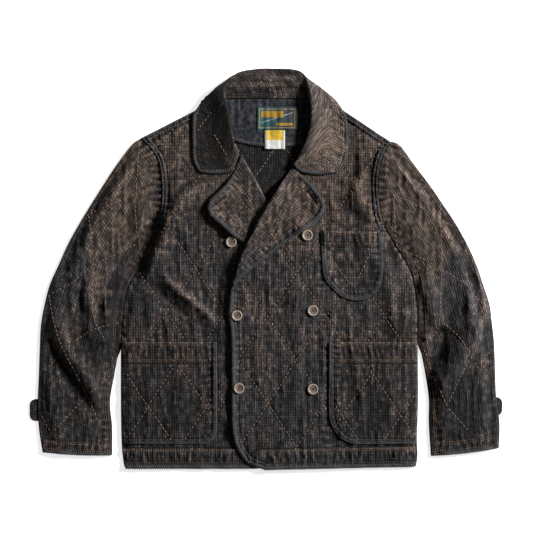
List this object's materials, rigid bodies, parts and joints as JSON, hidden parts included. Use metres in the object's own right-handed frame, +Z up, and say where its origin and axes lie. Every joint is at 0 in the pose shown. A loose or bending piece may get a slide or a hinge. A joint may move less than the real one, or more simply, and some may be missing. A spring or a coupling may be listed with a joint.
{
  "type": "patch-pocket sashiko work jacket, laid flat",
  "caption": "Double-breasted, collared work jacket of overdyed sashiko cloth with diamond stitching and patch pockets, laid flat on its back, front up.",
  "frame": {"origin": "centre of the laid garment's outline, on the surface it lies on", "axes": "+X towards the wearer's left sleeve, +Y from the hem to the neck, +Z up out of the front"},
  "size_m": [0.9, 0.7636, 0.0245],
  "materials": {
    "sashiko_cloth": "overdyed charcoal and brown sashiko, worn matte",
    "neck_facing_cloth": "dark indigo cloth, matte",
    "horn_button": "beige-brown horn-like, satin",
    "woven_label": "plain woven label, teal with a tan border",
    "tag_tape": "plain white tape with a yellow block"
  },
  "bodies": {
    "root": {"back_panel": "sashiko_cloth", "right_front": "sashiko_cloth", "left_front": "sashiko_cloth", "right_lapel": "sashiko_cloth", "left_lapel": "sashiko_cloth", "collar": "sashiko_cloth", "right_sleeve": "sashiko_cloth", "left_sleeve": "sashiko_cloth", "chest_pocket": "sashiko_cloth", "right_hip_pocket": "sashiko_cloth", "left_hip_pocket": "sashiko_cloth", "right_cuff_tab": "sashiko_cloth", "left_cuff_tab": "sashiko_cloth", "back_neck_facing": "neck_facing_cloth", "button_1": "horn_button", "button_2": "horn_button", "button_3": "horn_button", "button_4": "horn_button", "button_5": "horn_button", "button_6": "horn_button", "neck_label": "woven_label", "size_tag": "tag_tape"}
  },
  "joints": []
}
